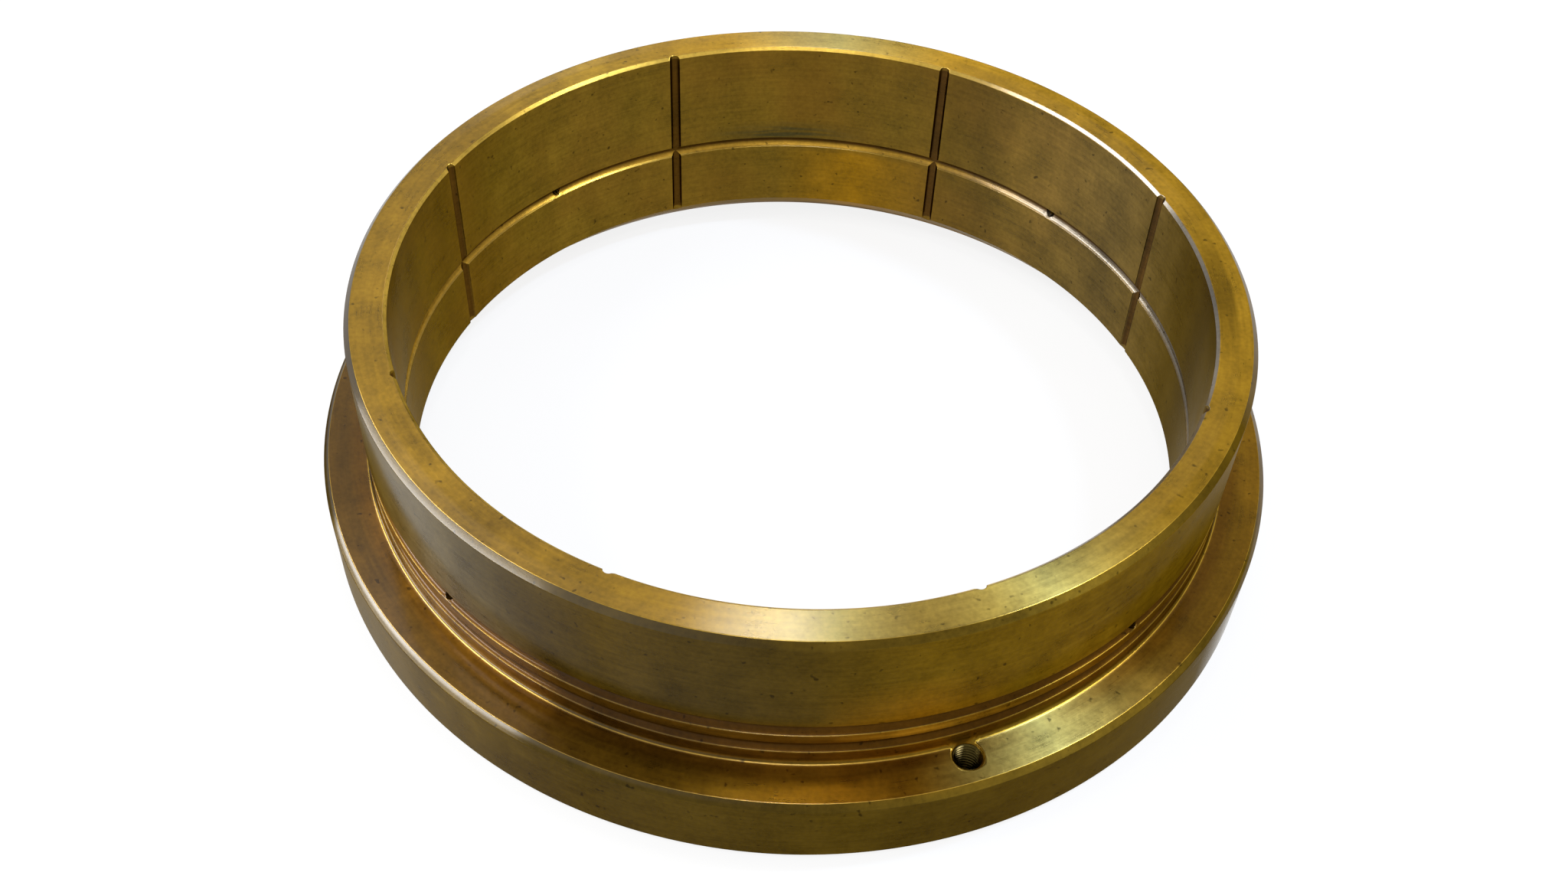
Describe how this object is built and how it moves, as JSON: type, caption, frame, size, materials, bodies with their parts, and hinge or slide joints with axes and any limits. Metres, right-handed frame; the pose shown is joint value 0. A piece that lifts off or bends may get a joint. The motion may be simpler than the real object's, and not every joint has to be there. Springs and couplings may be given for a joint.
{
  "type": "flanged bronze bushing",
  "caption": "Large thin-walled bronze bushing with a thick foot flange, oil grooves along and round its bore, ring grooves outside and tapped jacking holes.",
  "frame": {"origin": "centre of the flange's underside, on the axis of the bore", "axes": "+Z along the axis, from the flange towards the sleeve's top face; -Y faces the viewer of the picture"},
  "size_m": [0.42, 0.42, 0.108],
  "materials": {
    "bronze": "finely turned bronze, satin, with a light brown tarnish"
  },
  "bodies": {
    "root": {"bushing": "bronze"}
  },
  "joints": []
}
